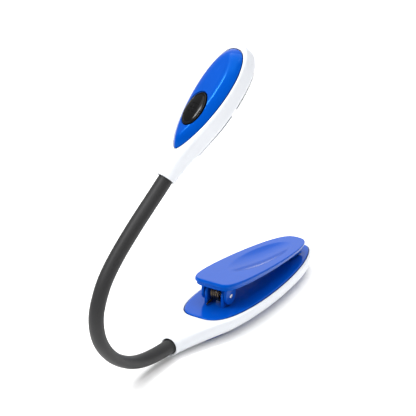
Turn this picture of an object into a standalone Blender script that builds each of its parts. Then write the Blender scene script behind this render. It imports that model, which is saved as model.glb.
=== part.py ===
# Clip-on reading lamp: every solid piece, at rest, standing on the table at z = 0.
# +X runs along the base from the neck's end to the clip's tip, +Z is up. Sizes are in millimetres until a mesh is made.
import math

import bmesh
import bpy
from mathutils import Matrix, Vector

MM = 0.001
GAP = 0.3  # between pieces that touch on the real lamp

# neck
SLEEVE_RADIUS, SLEEVE_BORE, CORE_RADIUS = 3.0, 1.4, 1.0
NECK_POINTS = [(0, 0, 4.8), (-20.9, -0.2, 7.3), (-37.2, -0.8, 15.3), (-48.9, -2.0, 27.1),
               (-53.3, -2.9, 39.2), (-50.7, -3.4, 49.8), (-44.7, -4.4, 59.1), (-33.7, -6.9, 71.1), (-16.4, -10.2, 86.3)]
JOINT_SPACING, FIRST_JOINT, STRETCHES = 17.0, 14.0, 8
SLEEVE_GAP, CORE_GAP = 1.5, 1.0
SLEEVE_INSERT, CORE_INSERT = 6.0, 13.0
FERRULE_START, FERRULE_LENGTH, FERRULE_RADIUS = 7.0, 7.0, 2.2

# head: its frame starts at the collar's mouth, x along the head, y across, z out of the button's side
HEAD_TURN, HEAD_RISE = math.radians(-15.4), math.radians(45.2)
HEAD_LENGTH, HEAD_WALL = 59.5, 1.6
COVER_START, COVER_END, COVER_HALF, COVER_SEAT, COVER_RISE = 11.5, 56.5, 8.3, 4.9, 2.8
COVER_BLUNT, COVER_SLENDER = 0.66, 0.42
BUTTON_X, BUTTON_LONG, BUTTON_WIDE, BUTTON_TOP = 28.1, 7.1, 4.3, 8.3
FLANGE, FLANGE_TOP = 0.5, 5.75  # the button's rim under the cover
LENS_START, LENS_END, DOOR_START, DOOR_END = 35.2, 54.7, 13.5, 34.9
UNDER_TOP, UNDER_BOTTOM, DOOR_SCREW_X = -4.75, -5.9, 17.2
CELL_X, CELL_RADIUS, CELL_THICK = 26.5, 5.8, 2.9
BOARD_BOTTOM, BOARD_TOP = 2.7, 3.5
LED_RADIUS, LED_XS = 2.45, (43.0, 49.6)

# base
DECK_START, DECK_END, DECK_HALF, DECK_TOP, SEAM_Z = 20.9, 103.4, 13.1, 9.5, 9.2
DECK_BLUNT, DECK_SLENDER = 0.29, 0.54
PIN = Vector((36.2, 0, 14.0))
PIN_RADIUS, PIN_HALF, PIN_BORE = 1.0, 6.35, 1.06
DECK_EAR = (3.2, 4.6, 3.4)  # inner face, outer face, radius round the pin
PADDLE_EAR = (4.9, 6.1, 3.6)
PADDLE_AT, PADDLE_TILT = Vector((29.6, 0, 21.7)), math.radians(5.45)
PADDLE_LENGTH, PADDLE_HALF, PADDLE_BLUNT, PADDLE_SLENDER = 68.8, 10.6, 0.15, 0.33
PADDLE_THICK, PADDLE_THIN = 3.2, 1.5  # its thickness at the neck's end, and how much less at the tip
PLATE_START, PLATE_END, PLATE_HALF, PLATE_TOP, MIDDLE = 15.5, 98.5, 9.1, 2.0, 60.0
PLATE_BLUNT, PLATE_SLENDER = 0.45, 0.48
FLOOR_BOTTOM, FLOOR_TOP, HULL_WALL = 2.3, 5.8, 3.6
SCREW_XS = (45.0, 84.0)
SPRING_RADIUS, SPRING_WIRE, SPRING_HALF, SPRING_TURNS = 2.8, 0.42, 2.3, 4.5

for old in list(bpy.data.objects):
    bpy.data.objects.remove(old, do_unlink=True)
scene = bpy.context.scene
cutters = bpy.data.collections.new("cutters")
scene.collection.children.link(cutters)


def material(name, colour, roughness, metallic=0.0, alpha=1.0):
    made = bpy.data.materials.new(name)
    made.use_nodes = True
    shader = made.node_tree.nodes["Principled BSDF"]
    shader.inputs["Base Color"].default_value = (*colour, 1)
    shader.inputs["Roughness"].default_value = roughness
    shader.inputs["Metallic"].default_value = metallic
    shader.inputs["Alpha"].default_value = alpha
    return made


WHITE, BLUE, DARK = (0.85, 0.86, 0.9), (0.01, 0.08, 0.62), (0.035, 0.035, 0.037)
STEEL, BRASS = (0.6, 0.6, 0.62), (0.7, 0.5, 0.2)


def loft(name, rings, look=None, wrap=False, at=None):
    """A closed body through rings of points. With wrap, the last ring joins the first; otherwise the ends are capped."""
    bm = bmesh.new()
    made = [[bm.verts.new(Vector(p) * MM) for p in ring] for ring in rings]
    pairs = list(zip(made, made[1:])) + ([(made[-1], made[0])] if wrap else [])
    for one, two in pairs:
        for k in range(len(one)):
            bm.faces.new((one[k - 1], one[k], two[k], two[k - 1]))
    if not wrap:
        bm.faces.new(made[0])
        bm.faces.new(made[-1])
    bmesh.ops.recalc_face_normals(bm, faces=bm.faces)
    mesh = bpy.data.meshes.new(name)
    bm.to_mesh(mesh)
    bm.free()
    obj = bpy.data.objects.new(name, mesh)
    if at is not None:
        obj.matrix_world = at
    if look is None:
        cutters.objects.link(obj)
        obj.hide_render, obj.display_type = True, "WIRE"
    else:
        scene.collection.objects.link(obj)
        mesh.materials.append(material(name, *look))
    return obj


def boolean(obj, operation, other):
    step = obj.modifiers.new(other.name, "BOOLEAN")
    step.operation, step.solver, step.object = operation, "EXACT", other
    return obj


def cut(obj, *others):
    for other in others:
        boolean(obj, "DIFFERENCE", other)
    return obj


def join(obj, *others):
    for other in others:
        boolean(obj, "UNION", other)
    return obj


def metres(matrix):
    """A placement given in millimetres, in metres."""
    placed = matrix.copy()
    placed.translation = placed.translation * MM
    return placed


def circle(radius, sides, centre=(0, 0, 0), u=(1, 0, 0), v=(0, 1, 0), half=None):
    c, u, v = Vector(centre), Vector(u), Vector(v)
    across = radius if half is None else half
    return [c + u * radius * math.cos(2 * math.pi * k / sides) + v * across * math.sin(2 * math.pi * k / sides)
            for k in range(sides)]


def rod(name, a, b, radius, look=None, sides=16, at=None, half=None):
    """A cylinder from a to b; with half, an oval one whose second radius lies across."""
    a, b = Vector(a), Vector(b)
    axis = (b - a).normalized()
    u = Vector((1, 0, 0)) if abs(axis.x) < 0.9 else Vector((0, 1, 0))
    u = (u - axis * u.dot(axis)).normalized()
    v = axis.cross(u)
    return loft(name, [circle(radius, sides, p, u, v, half) for p in (a, b)], look, at=at)


def block(name, low, high, look=None, at=None):
    (x0, y0, z0), (x1, y1, z1) = low, high
    return loft(name, [[(x0, y0, z), (x1, y0, z), (x1, y1, z), (x0, y1, z)] for z in (z0, z1)], look, at=at)


def slab(name, profile, y0, y1, look=None, at=None):
    """A flat shape in x and z, given thickness from y0 to y1."""
    return loft(name, [[(x, y, z) for x, z in profile] for y in (y0, y1)], look, at=at)


def leaf(start, end, half, z, p, q, count=40, grow=0.0):
    """A pointed-round outline: blunt where p is small, slender where q is large. z is a height or a function of x."""
    start, end, half = start - grow, end + grow, half + grow
    peak = p / (p + q)
    most = peak**p * (1 - peak)**q
    side = []
    for k in range(1, count // 2):
        t = (0.5 - 0.5 * math.cos(2 * math.pi * k / count)) ** 1.4
        side.append((start + (end - start) * t, half * t**p * (1 - t)**q / most))
    ring = [(start, 0)] + [(x, -y) for x, y in side] + [(end, 0)] + side[::-1]
    return [(x, y, z(x) if callable(z) else z) for x, y in ring]


def table(rows, x, column):
    for one, two in zip(rows, rows[1:]):
        if x <= two[0]:
            t = (x - one[0]) / (two[0] - one[0])
            return one[column] + (two[column] - one[column]) * t
    return rows[-1][column]


def section(x, half, middle, top, bottom, boxTop, boxBottom, count=28):
    """A rounded section across x: half wide each side of middle's height, up to top and down to bottom."""
    ring = []
    for k in range(count):
        c, s = math.cos(2 * math.pi * (k + 0.5) / count), math.sin(2 * math.pi * (k + 0.5) / count)
        power = 2 / (boxTop if s > 0 else boxBottom)
        reach = top - middle if s > 0 else middle - bottom
        ring.append((x, half * math.copysign(abs(c)**power, c), middle + reach * math.copysign(abs(s)**power, s)))
    return ring


# --- the neck's line, as closely spaced points with the distance along it
def neckLine():
    points = [Vector(p) for p in NECK_POINTS]
    ahead = Matrix.Rotation(HEAD_TURN, 3, "Z") @ Matrix.Rotation(-HEAD_RISE, 3, "Y") @ Vector((1, 0, 0))
    tangents = [Vector((-20, 0, 0))] + [(b - a) / 2 for a, b in zip(points, points[2:])] + [ahead * 20]
    line = []
    for a, b, m, n in zip(points, points[1:], tangents, tangents[1:]):
        for k in range(24):
            t = k / 24
            line.append(a * (2 * t**3 - 3 * t**2 + 1) + m * (t**3 - 2 * t**2 + t)
                        + b * (3 * t**2 - 2 * t**3) + n * (t**3 - t**2))
    line.append(points[-1])
    along = [0.0]
    for a, b in zip(line, line[1:]):
        along.append(along[-1] + (b - a).length)
    return line, along, ahead


LINE, ALONG, AHEAD = neckLine()
NECK_LENGTH = ALONG[-1]


def onNeck(s):
    """The neck's centre at s along it. Past either end it runs on straight, into the collar."""
    if s <= 0:
        return LINE[0] + Vector((1, 0, 0)) * -s
    if s >= NECK_LENGTH:
        return LINE[-1] + AHEAD * (s - NECK_LENGTH)
    k = next(i for i in range(len(ALONG) - 1) if ALONG[i + 1] >= s)
    return LINE[k].lerp(LINE[k + 1], (s - ALONG[k]) / (ALONG[k + 1] - ALONG[k]))


def neckRings(start, end, radius, sides, steps):
    rings = []
    for k in range(steps + 1):
        s = start + (end - start) * k / steps
        ahead = (onNeck(s + 0.5) - onNeck(s - 0.5)).normalized()
        across = Vector((0, 1, 0))
        across = (across - ahead * across.dot(ahead)).normalized()
        rings.append(circle(radius, sides, onNeck(s), across, ahead.cross(across)))
    return rings


for k in range(STRETCHES):
    first, last = k == 0, k == STRETCHES - 1
    low, high = FIRST_JOINT + JOINT_SPACING * (k - 1), FIRST_JOINT + JOINT_SPACING * k
    start = -SLEEVE_INSERT if first else low + SLEEVE_GAP / 2
    end = NECK_LENGTH + SLEEVE_INSERT if last else high - SLEEVE_GAP / 2
    outer = neckRings(start, end, SLEEVE_RADIUS, 14, 7)
    inner = neckRings(start, end, SLEEVE_BORE, 14, 7)
    loft(f"sleeve_{k}", outer + inner[::-1], (DARK, 0.6), wrap=True)
    start = -CORE_INSERT if first else low + CORE_GAP / 2
    end = NECK_LENGTH + CORE_INSERT if last else high - CORE_GAP / 2
    loft(f"core_{k}", neckRings(start, end, CORE_RADIUS, 8, 6), (STEEL, 0.4, 0.9))

# --- base hull: half width and underside height along x
HULL = [(0, 4.0, 0.7), (3, 4.4, 0.7), (7, 5.6, 0.7), (11, 7.0, 0.7), (15, 8.4, 0.7), (19, 9.8, 0.7), (23, 11.2, 0.7),
        (27, 12.6, 0.7), (31, 13.4, 0.7), (36, 14.0, 0.7), (42, 14.4, 0.7), (50, 14.5, 0.7), (60, 14.1, 0.7),
        (70, 13.1, 0.7), (80, 11.6, 0.7), (88, 9.9, 0.8), (94, 8.1, 1.2), (99, 6.0, 2.0), (102.5, 4.0, 3.4),
        (104.4, 2.4, 5.0), (105.2, 1.1, 6.4)]


def hullRing(x, inset=0.0, top=None, bottom=None):
    blend = min(1, max(0, x / 22))
    blend = blend * blend * (3 - 2 * blend)
    peak = 8.7 + (SEAM_Z + 0.1 - 8.7) * min(1, x / 14)
    return section(x, table(HULL, x, 1) - inset, 4.7 + 2.6 * blend, peak if top is None else top,
                   table(HULL, x, 2) if bottom is None else bottom, 2 + 5 * blend, 2 + 0.4 * blend)


shell = loft("base_shell", [hullRing(x) for x, _, _ in HULL], (WHITE, 0.25))
cavity = loft("hull_cavity", [hullRing(x, HULL_WALL, 9.0, FLOOR_TOP)
                              for x in (25, 29, 34, 42, 50, 60, 70, 80, 88, 93)])
pocket = loft("deck_pocket", [leaf(DECK_START, DECK_END, DECK_HALF, z, DECK_BLUNT, DECK_SLENDER, grow=GAP)
                              for z in (7.7, 14)])
recess = loft("plate_recess", [leaf(PLATE_START, PLATE_END, PLATE_HALF, z, PLATE_BLUNT, PLATE_SLENDER, grow=GAP)
                               for z in (-2, FLOOR_BOTTOM)])
collar_bore = rod("base_collar_bore", (-2, 0, 4.8), (6.6, 0, 4.8), SLEEVE_RADIUS + GAP)
ferrule_bore = rod("base_ferrule_bore", (5, 0, 4.8), (FERRULE_START + FERRULE_LENGTH + 1, 0, 4.8), FERRULE_RADIUS + GAP)
cut(shell, cavity, pocket, recess, collar_bore, ferrule_bore)
for k, x in enumerate(SCREW_XS):
    cut(shell, rod(f"floor_hole_{k}", (x, 0, 1), (x, 0, FLOOR_TOP + 1), 1.35))

# --- base deck, with its bosses and ears
rings = [leaf(DECK_START, DECK_END, DECK_HALF, z, DECK_BLUNT, DECK_SLENDER, grow=g)
         for z, g in ((8.0, 0), (9.0, 0), (9.35, -0.25), (DECK_TOP, -0.8))]
deck = loft("base_deck", rings, (BLUE, 0.2))
for k, x in enumerate(SCREW_XS):
    join(deck, rod(f"boss_{k}", (x, 0, FLOOR_TOP + GAP), (x, 0, 8.5), 2.5))


def earProfile(radius, foot, pin=PIN):
    arc = [(pin.x + radius * math.cos(math.radians(a)), pin.z + radius * math.sin(math.radians(a)))
           for a in range(0, 181, 20)]
    return [(pin.x - radius, foot), (pin.x + radius, foot)] + arc


for k, side in enumerate((-1, 1)):
    ends = sorted((side * DECK_EAR[0], side * DECK_EAR[1]))
    join(deck, slab(f"deck_ear_{k}", earProfile(DECK_EAR[2], 8.6), *ends))
cut(deck, rod("deck_pin_bore", PIN + Vector((0, -8, 0)), PIN + Vector((0, 8, 0)), PIN_BORE, sides=20))
for k, x in enumerate(SCREW_XS):
    cut(deck, rod(f"boss_hole_{k}", (x, 0, 2), (x, 0, 8.2), 1.1))

# --- bottom plate and its screws
plate = loft("base_plate", [leaf(PLATE_START, PLATE_END, PLATE_HALF, z, PLATE_BLUNT, PLATE_SLENDER, grow=g)
                            for z, g in ((0, -0.3), (0.3, 0), (PLATE_TOP, 0))], (BLUE, 0.35))
for k, (name, x) in enumerate(zip(("base_screw_rear", "base_screw_front"), SCREW_XS)):
    cut(plate, rod(f"plate_hole_{k}", (x, 0, -1), (x, 0, 4), 1.35), rod(f"plate_sink_{k}", (x, 0, -1), (x, 0, 1.35), 2.6))
    screw = loft(name, [circle(r, 16, (x, 0, z)) for z, r in ((0.25, 1.9), (0.45, 2.2), (1.05, 2.2))], (STEEL, 0.3, 1.0))
    join(screw, rod(f"shank_{k}", (x, 0, 0.8), (x, 0, 7.6), 0.95))
    cut(screw, block(f"slot_a_{k}", (x - 1.3, -0.22, -0.5), (x + 1.3, 0.22, 0.65)),
        block(f"slot_b_{k}", (x - 0.22, -1.3, -0.5), (x + 0.22, 1.3, 0.65)))

# --- paddle, in its own frame: x along it from the neck's end, z out of its top
PADDLE = Matrix.Translation(PADDLE_AT) @ Matrix.Rotation(PADDLE_TILT, 4, "Y")
pinThere = PADDLE.inverted() @ PIN


def under(share):
    return lambda x: (PADDLE_THIN * x / PADDLE_LENGTH - PADDLE_THICK) * share


rings = [leaf(0, PADDLE_LENGTH, PADDLE_HALF, z, PADDLE_BLUNT, PADDLE_SLENDER, grow=g)
         for z, g in ((under(1), -0.9), (under(0.85), -0.6), (under(0.55), -0.6), (under(0.45), 0), (under(0.2), 0),
                      (under(0.05), -0.25), (0, -0.8))]
paddle = loft("paddle", rings, (BLUE, 0.2), at=metres(PADDLE))
for k, side in enumerate((-1, 1)):
    ends = sorted((side * PADDLE_EAR[0], side * PADDLE_EAR[1]))
    profile = [(x, 2 * pinThere.z - z) for x, z in earProfile(PADDLE_EAR[2], 2 * pinThere.z + 1.3, pinThere)]
    join(paddle, slab(f"paddle_ear_{k}", profile, *ends, at=metres(PADDLE)))
noseFoot = DECK_TOP + GAP
teeth = [(86.5 + 1.5 * k + 0.75 * j, noseFoot + 0.7 * j) for k in range(6) for j in (0, 1)]
join(paddle, slab("grip_nose", [(85.7, 15.3)] + teeth[:-1] + [(95.7, noseFoot + 1.2), (95.9, 14.5)], -3.6, 3.6))
dimple = loft("thumb_dimple", [circle(39.8 * math.sin(a), 32, (38.2, 0, 5 - 6 * math.cos(a)), half=11.4 * math.sin(a))
                               for a in (math.radians(d) for d in (1, 9, 18, 27, 36, 50, 70))], at=metres(PADDLE))
cut(paddle, dimple, rod("paddle_pin_bore", PIN + Vector((0, -9, 0)), PIN + Vector((0, 9, 0)), PIN_BORE, sides=20))

rod("hinge_pin", PIN + Vector((0, -PIN_HALF, 0)), PIN + Vector((0, PIN_HALF, 0)), PIN_RADIUS, (STEEL, 0.2, 1.0))

# --- torsion spring: a coil round the pin, one leg on the deck and one under the paddle, both toward the neck
coil, turns = [], int(SPRING_TURNS * 12)
for k in range(turns + 1):
    a = math.pi / 2 + 2 * math.pi * k / 12
    coil.append(PIN + Vector((-SPRING_RADIUS * math.cos(a), -SPRING_HALF + 2 * SPRING_HALF * k / turns,
                              SPRING_RADIUS * math.sin(a))))
wire = [coil[0] + Vector((-5.2, 0, 0.25))] + coil + [Vector((PIN.x - 5.2, SPRING_HALF, DECK_TOP + GAP + SPRING_WIRE))]


def wireRings(points, radius, sides):
    rings, across = [], Vector((0, 1, 0))
    for k, p in enumerate(points):
        ahead = (points[min(k + 1, len(points) - 1)] - points[max(k - 1, 0)]).normalized()
        across = (across - ahead * across.dot(ahead)).normalized()
        rings.append(circle(radius, sides, p, across, ahead.cross(across)))
    return rings


loft("clip_spring", wireRings(wire, SPRING_WIRE, 6), (STEEL, 0.35, 1.0))

# --- crimps on the ends of the neck's wire
HEAD = Matrix.Translation(LINE[-1]) @ Matrix.Rotation(HEAD_TURN, 4, "Z") @ Matrix.Rotation(-HEAD_RISE, 4, "Y")
for name, at in (("ferrule_base", Matrix.Translation((0, 0, NECK_POINTS[0][2]))), ("ferrule_head", HEAD)):
    crimp = rod(name, (FERRULE_START, 0, 0), (FERRULE_START + FERRULE_LENGTH, 0, 0), FERRULE_RADIUS, (BRASS, 0.35, 1.0),
                at=metres(at))
    cut(crimp, rod(f"{name}_bore", (FERRULE_START - 1, 0, 0), (FERRULE_START + FERRULE_LENGTH + 1, 0, 0),
                   CORE_RADIUS + 0.2, at=metres(at)))

# --- head shell: half width, top and bottom heights along x
PLACE = metres(HEAD)
BODY = [(0, 3.9, 3.9, -3.9), (3, 4.05, 4.05, -4.05), (7, 4.45, 4.4, -4.25), (11, 5.2, 4.8, -4.35), (14, 5.9, 5.0, -4.4),
        (18, 6.8, 5.1, -4.45), (22, 7.8, 5.1, -4.45), (26, 8.7, 5.1, -4.45), (30, 9.3, 5.1, -4.45), (36, 9.7, 5.1, -4.45),
        (42, 9.5, 5.1, -4.45), (46, 9.0, 5.1, -4.45), (50, 8.2, 5.1, -4.45), (54, 6.7, 5.05, -4.3), (57, 4.6, 4.9, -3.6),
        (58.8, 2.6, 4.5, -2.4), (HEAD_LENGTH, 1.0, 3.8, -1.0)]


def bodyRing(x, inset=0.0, top=None, bottom=None):
    blend = min(1, max(0, (x - 2) / 16))
    return section(x, table(BODY, x, 1) - inset, 0, table(BODY, x, 2) if top is None else top,
                   table(BODY, x, 3) if bottom is None else bottom, 2 + 5 * blend, 2 + 1.2 * blend)


def coverOutline(z, grow):
    return leaf(COVER_START, COVER_END, COVER_HALF, z, COVER_BLUNT, COVER_SLENDER, grow=grow)


shell = loft("head_shell", [bodyRing(x) for x, *_ in BODY], (WHITE, 0.25), at=PLACE)
xs = (19.6, 23, 27, 31, 36, 42, 46, 50, 52.8)
cavity = loft("head_cavity", [[(x, y, z) for y, z in ((-w, -9), (w, -9), (w, 9), (-w, 9))]
                              for x in xs for w in [table(BODY, x, 1) - HEAD_WALL]], at=PLACE)
pocket = loft("cover_pocket", [coverOutline(z, GAP) for z in (3.6, 9)], at=PLACE)
collar_bore = rod("head_collar_bore", (-2, 0, 0), (6.6, 0, 0), SLEEVE_RADIUS + GAP, at=PLACE)
ferrule_bore = rod("head_ferrule_bore", (5, 0, 0), (FERRULE_START + FERRULE_LENGTH + 1, 0, 0), FERRULE_RADIUS + GAP, at=PLACE)
door_hole = rod("door_screw_hole", (DOOR_SCREW_X, 0, -9), (DOOR_SCREW_X, 0, -1.4), 0.9, at=PLACE)
cut(shell, cavity, pocket, collar_bore, ferrule_bore, door_hole)


def domeRings(z, rise, grow):
    steps = ((0, 0), (0.3, 0.14), (1.0, 0.4), (2.2, 0.71), (3.8, 0.94), (5.4, 1.0))
    return [coverOutline(z + rise * up, grow - inset) for inset, up in steps]


cover = loft("head_cover", [coverOutline(3.9, 0)] + domeRings(COVER_SEAT, COVER_RISE, 0), (BLUE, 0.2), at=PLACE)
hollow = loft("cover_hollow", [coverOutline(2, -1.4)] + domeRings(COVER_SEAT - 1.3, COVER_RISE, -1.4), at=PLACE)
opening = rod("button_opening", (BUTTON_X, 0, 0), (BUTTON_X, 0, 12), BUTTON_LONG + GAP, sides=32, half=BUTTON_WIDE + GAP,
              at=PLACE)
flange_room = rod("flange_room", (BUTTON_X, 0, 0), (BUTTON_X, 0, FLANGE_TOP + GAP), BUTTON_LONG + FLANGE + GAP, sides=32,
                  half=BUTTON_WIDE + FLANGE + GAP, at=PLACE)
cut(cover, hollow, opening, flange_room)

# --- push button, with cross ribs on its crown
levels = ((4.95, FLANGE), (FLANGE_TOP, FLANGE), (FLANGE_TOP + 0.01, 0), (7.5, 0), (8.0, -0.6), (BUTTON_TOP, -2.0))
button = loft("button", [circle(BUTTON_LONG + g, 32, (BUTTON_X, 0, z), half=BUTTON_WIDE + g) for z, g in levels],
              (DARK, 0.25), at=PLACE)
cut(button, rod("button_hollow", (BUTTON_X, 0, 3), (BUTTON_X, 0, 7.2), 5.3, sides=24, half=2.9, at=PLACE))
for k in range(3):
    x = BUTTON_X - 1.8 + 1.8 * k
    cut(button, block(f"button_groove_{k}", (x - 0.25, -1.8, BUTTON_TOP - 0.3), (x + 0.25, 1.8, 9), at=PLACE))

# --- lens and battery door under the head


def underPiece(name, start, end, ramp, endWidth, look):
    """A shallow dished piece that follows the shell's outline from start to end. ramp makes its first edge slope."""
    rings = []
    for z, inset in ((UNDER_BOTTOM, 1.6), (UNDER_BOTTOM + 0.25, 0.8), (UNDER_BOTTOM + 0.7, 0.2), (UNDER_TOP, 0)):
        side = []
        for k in range(11):
            x = start + ramp * inset + (end - start - (1 + ramp) * inset) * k / 10
            half = table(BODY, min(x, 58.5), 1) - 1.5 - inset
            side.append((x, half * (endWidth if k == 10 else 1)))
        rings.append([(x, -y, z) for x, y in side] + [(x, y, z) for x, y in side[::-1]])
    return loft(name, rings, look, at=PLACE)


def upright(name, x, low, high, radius, look=None, sides=16):
    return rod(name, (x, 0, low), (x, 0, high), radius, look, sides, PLACE)


lens = underPiece("lens", LENS_START, LENS_END, 1, 0.85, ((0.9, 0.93, 0.95), 0.05, 0.0, 0.35))
cut(lens, block("lens_hollow", (38.2, -5.4, UNDER_BOTTOM + 0.85), (51.0, 5.4, 0), at=PLACE))
door = underPiece("battery_door", DOOR_START, DOOR_END, 1.8, 1.0, (WHITE, 0.25))
cut(door, upright("door_hole", DOOR_SCREW_X, -9, 0, 1.2), upright("door_sink", DOOR_SCREW_X, -9, UNDER_TOP - 0.45, 1.9),
    block("door_hollow", (20.8, -5.0, UNDER_TOP - 0.55), (33.9, 5.0, 0), at=PLACE))
screw = upright("door_screw", DOOR_SCREW_X, UNDER_BOTTOM + 0.1, UNDER_TOP - 0.6, 1.6, (STEEL, 0.3, 1.0))
join(screw, upright("door_shank", DOOR_SCREW_X, UNDER_TOP - 0.8, -1.8, 0.75))
for k, (x, y) in enumerate(((1.0, 0.18), (0.18, 1.0))):
    cut(screw, block(f"door_slot_{k}", (DOOR_SCREW_X - x, -y, -7), (DOOR_SCREW_X + x, y, UNDER_BOTTOM + 0.4), at=PLACE))

# --- circuit board, switch, LEDs, cells and contacts
board = []
for z in (BOARD_BOTTOM, BOARD_TOP):
    left = [(x, table(BODY, x, 1) - 2.9) for x in (20.2, 23, 27, 31, 36, 42, 46, 50, 52.4)]
    board.append([(x, -w, z) for x, w in left] + [(x, w, z) for x, w in left[::-1]])
loft("circuit_board", board, ((0.02, 0.2, 0.08), 0.5), at=PLACE)
switch = block("switch", (BUTTON_X - 2.6, -2.1, 3.8), (BUTTON_X + 2.6, 2.1, 5.3), (DARK, 0.5), at=PLACE)
join(switch, rod("actuator", (BUTTON_X, 0, 5.0), (BUTTON_X, 0, 5.9), 1.2, at=PLACE))
for name, x in zip(("led_rear", "led_front"), LED_XS):
    levels = ((2.4, 0.35), (1.5, 0.35), (1.49, 0), (-2.0, 0), (-3.1, -0.45), (-3.8, -1.1), (-4.15, -1.9))
    loft(name, [circle(LED_RADIUS + g, 16, (x, 0, z)) for z, g in levels], ((0.95, 0.93, 0.8), 0.1), at=PLACE)
for name, low in (("cell_lower", -4.35), ("cell_upper", -4.35 + CELL_THICK + GAP)):
    levels = ((0, -1.3), (0.35, -0.5), (0.36, 0), (CELL_THICK - 0.2, 0), (CELL_THICK, -0.2))
    loft(name, [circle(CELL_RADIUS + g, 28, (CELL_X, 0, low + z)) for z, g in levels], (STEEL, 0.25, 1.0), at=PLACE)
strip = block("contact_lower", (CELL_X - 4, -1.5, -4.95), (33.4, 1.5, -4.7), (STEEL, 0.3, 1.0), at=PLACE)
join(strip, block("contact_leg", (33.15, -1.5, -4.95), (33.4, 1.5, 2.4), at=PLACE))
block("contact_upper", (CELL_X - 3, -2, 2.1), (CELL_X + 3, 2, 2.35), (BRASS, 0.3, 1.0), at=PLACE)

# --- the row's origin is under the middle of the bottom plate
for obj in bpy.data.objects:
    obj.location.x -= MIDDLE * MM
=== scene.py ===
import math

import bmesh
import bpy
import numpy as np
from mathutils import Matrix, Vector


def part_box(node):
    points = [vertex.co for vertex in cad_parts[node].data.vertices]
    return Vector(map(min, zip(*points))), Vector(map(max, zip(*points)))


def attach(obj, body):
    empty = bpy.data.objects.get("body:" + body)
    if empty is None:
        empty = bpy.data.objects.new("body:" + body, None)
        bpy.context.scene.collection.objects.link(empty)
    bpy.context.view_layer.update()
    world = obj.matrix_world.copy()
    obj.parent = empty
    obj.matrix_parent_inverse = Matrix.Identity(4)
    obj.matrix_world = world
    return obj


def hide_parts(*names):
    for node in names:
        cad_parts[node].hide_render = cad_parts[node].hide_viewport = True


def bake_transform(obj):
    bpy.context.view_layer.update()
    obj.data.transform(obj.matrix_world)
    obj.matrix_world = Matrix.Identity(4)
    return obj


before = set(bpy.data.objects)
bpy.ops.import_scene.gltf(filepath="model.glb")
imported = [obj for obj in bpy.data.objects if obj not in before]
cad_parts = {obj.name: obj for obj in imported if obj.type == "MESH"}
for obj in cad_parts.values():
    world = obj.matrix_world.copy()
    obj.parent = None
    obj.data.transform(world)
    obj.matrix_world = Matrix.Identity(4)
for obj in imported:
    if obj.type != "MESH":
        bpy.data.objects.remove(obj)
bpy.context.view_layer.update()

mm = 0.001  # every size below is in millimetres, and becomes metres when its mesh is made
touchGap = 0.3  # between pieces that touch
neckHeight = 4.8  # of the neck's middle where it leaves the base

# Places: the base runs along +x from the neck's mouth, and the head and the paddle have
# frames of their own, at the head's collar and at the paddle's heel
basePlace = Matrix.Translation((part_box("base_shell")[0].x / mm, 0, 0))
headSettings = {"mouth": (-16.4, -10.2, 86.3), "turn": -15.4, "rise": 45.2}
headPlace = (basePlace @ Matrix.Translation(headSettings["mouth"])
             @ Matrix.Rotation(math.radians(headSettings["turn"]), 4, "Z")
             @ Matrix.Rotation(math.radians(-headSettings["rise"]), 4, "Y"))
paddlePlace = (basePlace @ Matrix.Translation((29.6, 0, 21.7))
               @ Matrix.Rotation(math.radians(5.45), 4, "Y"))


# ---- meshes

def addPiece(name, points, faces):
    mesh = bpy.data.meshes.new(name)
    mesh.from_pydata(points, [], faces)
    shape = bmesh.new()
    shape.from_mesh(mesh)
    bmesh.ops.remove_doubles(shape, verts=shape.verts, dist=0.002 * mm)
    bmesh.ops.recalc_face_normals(shape, faces=shape.faces)
    shape.to_mesh(mesh)
    shape.free()
    piece = bpy.data.objects.new(name, mesh)
    bpy.context.scene.collection.objects.link(piece)
    return piece


def loft(name, rings, place, wrap=False, caps=(True, True)):
    count, total = len(rings[0]), len(rings)
    points = [place @ Vector(p) * mm for ring in rings for p in ring]
    faces = []
    for k in range(total if wrap else total - 1):
        a, b = k * count, (k + 1) % total * count
        faces += [(a + i, a + (i + 1) % count, b + (i + 1) % count, b + i) for i in range(count)]
    if not wrap and caps[0]:
        faces.append(tuple(range(count)))
    if not wrap and caps[1]:
        faces.append(tuple(range((total - 1) * count, total * count)))
    return addPiece(name, points, faces)


def apply(piece):
    graph = bpy.context.evaluated_depsgraph_get()
    made = bpy.data.meshes.new_from_object(piece.evaluated_get(graph))
    piece.modifiers.clear()
    piece.data = made
    return piece


def combine(piece, how, *others):
    for other in others:
        step = piece.modifiers.new(other.name, "BOOLEAN")
        step.operation, step.solver, step.object = how, "EXACT", other
    apply(piece)
    for other in others:
        bpy.data.objects.remove(other, do_unlink=True)
    shape = bmesh.new()
    shape.from_mesh(piece.data)
    bmesh.ops.remove_doubles(shape, verts=shape.verts, dist=0.004 * mm)
    bmesh.ops.dissolve_degenerate(shape, edges=shape.edges, dist=0.002 * mm)
    shape.to_mesh(piece.data)
    shape.free()
    return piece


def cut(piece, *others):
    return combine(piece, "DIFFERENCE", *others)


def join(piece, *others):
    return combine(piece, "UNION", *others)


def ease(t):
    t = min(1, max(0, t))
    return t * t * (3 - 2 * t)


def through(rows, column):
    # a smooth curve through a table's rows, which never swings past them
    xs = [row[0] for row in rows]
    ys = [row[column] for row in rows]
    slopes = [(y1 - y0) / (x1 - x0) for x0, x1, y0, y1 in zip(xs, xs[1:], ys, ys[1:])]
    rates = [2 * a * b / (a + b) if a * b > 0 else 0 for a, b in zip(slopes, slopes[1:])]
    rates = [slopes[0]] + rates + [slopes[-1]]

    def value(x):
        k = max(0, min(len(slopes) - 1, int(np.searchsorted(xs, x)) - 1))
        gap = xs[k + 1] - xs[k]
        t = (min(max(x, xs[0]), xs[-1]) - xs[k]) / gap
        return (ys[k] * (1 + 2 * t) * (1 - t)**2 + ys[k + 1] * t * t * (3 - 2 * t)
                + gap * (rates[k] * t * (1 - t)**2 - rates[k + 1] * t * t * (1 - t)))
    return value


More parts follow.
